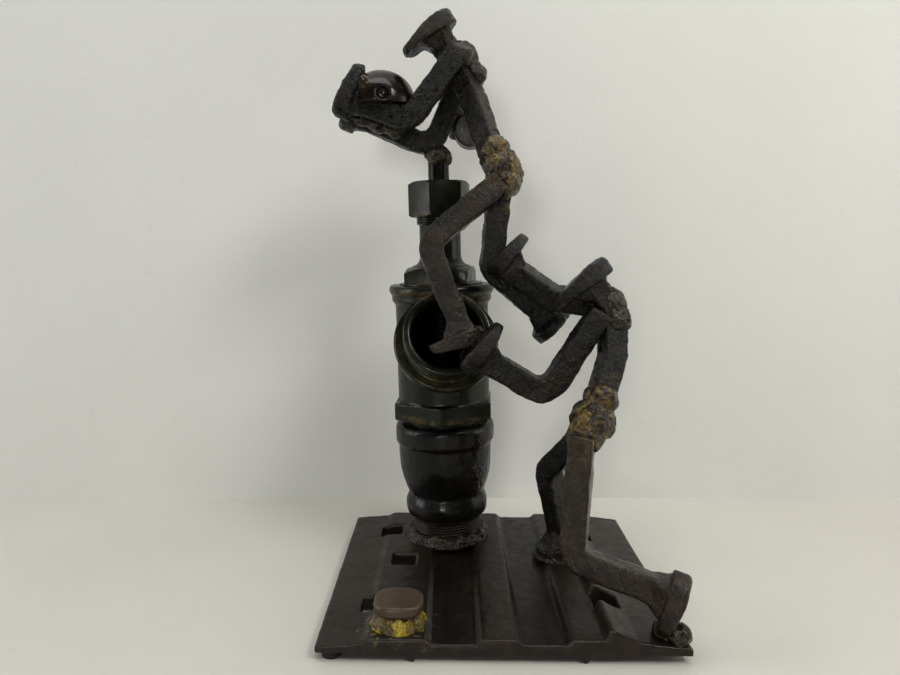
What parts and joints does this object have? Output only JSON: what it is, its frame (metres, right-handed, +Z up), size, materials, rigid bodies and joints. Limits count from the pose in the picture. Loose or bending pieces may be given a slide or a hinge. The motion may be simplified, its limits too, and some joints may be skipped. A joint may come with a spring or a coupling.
{
  "type": "welded railroad-spike sculpture on an angle hose valve",
  "caption": "Free-standing welded sculpture: bent-spike figures climb and push at a leaning column made of an angle hose valve, a bell reducer and a pipe nipple on a rail tie plate.",
  "frame": {"origin": "on the ground, under the middle of the sculpture's bounding box", "axes": "+Z up; -Y towards the front, where the outlet faces; +X towards the lower figure"},
  "size_m": [0.2296, 0.1942, 0.4042],
  "materials": {
    "plate_steel": "rolled steel, dark brown-grey, satin clear coat",
    "forged_steel": "forged and pitted, dark with brown tints, glossy clear coat",
    "polished_steel": "ground smooth, brown satin",
    "braze_metal": "lumpy braze, yellow on the crests and dark between them",
    "weld_metal": "lumpy weld, brassy and grey",
    "nipple_steel": "threaded pipe, brown",
    "black_iron": "cast, black, glossy",
    "dark_bronze": "dark olive patina, brassy at the rims",
    "bright_bronze": "turned bronze",
    "stem_bronze": "turned bronze, blackened",
    "black_rubber": "matte",
    "packing": "graphited braid",
    "brown_iron": "smooth, brown, glossy",
    "sawn_steel": "sawn end with faint rings"
  },
  "bodies": {
    "base": {"tie_plate": "plate_steel", "plate_feet": "black_rubber", "polished_spike": "polished_steel", "button_braze": "braze_metal", "nipple_weld": "weld_metal", "pipe_nipple": "nipple_steel", "reducer_coupling": "black_iron", "valve_body": "dark_bronze", "seat_ring": "bright_bronze", "seat_disc": "black_rubber", "disc_holder": "bright_bronze", "disc_nut": "bright_bronze", "stem": "stem_bronze", "bonnet": "dark_bronze", "gland_packing": "packing", "upper_torso": "forged_steel", "upper_near_arm": "forged_steel", "upper_far_arm": "forged_steel", "upper_near_leg": "forged_steel", "upper_far_leg": "forged_steel", "lower_torso": "forged_steel", "lower_near_arm": "forged_steel", "lower_far_arm": "forged_steel", "lower_near_leg": "forged_steel", "lower_far_leg": "forged_steel", "held_dome": "brown_iron", "back_stub": "sawn_steel", "upper_shoulder_braze": "braze_metal", "upper_hip_braze": "braze_metal", "upper_hand_braze": "braze_metal", "stub_braze": "braze_metal", "lower_shoulder_braze": "braze_metal", "lower_hip_braze": "braze_metal", "outlet_braze": "braze_metal", "grip_braze": "braze_metal", "near_foot_braze": "braze_metal", "far_foot_braze": "braze_metal", "stem_braze": "braze_metal"},
    "gland": {"gland_follower": "bright_bronze"},
    "nut": {"packing_nut": "dark_bronze"}
  },
  "joints": [
    {"name": "gland_slide", "type": "slide", "parent": "base", "child": "gland", "axis": [-0.0326, 0, 0.9995], "range_m": [-0.0036, 0.0045], "deforming": ["gland_packing"]},
    {"name": "nut_turn", "type": "hinge", "parent": "gland", "child": "nut", "pos_m": [-0.04129, 0.0556, 0.27486], "axis": [-0.0326, 0, 0.9995], "range_deg": [-720, 900]}
  ],
  "couplings": [
    {"joint": "gland_slide", "follows": "nut_turn", "m_per_rad": 0.00028645}
  ]
}
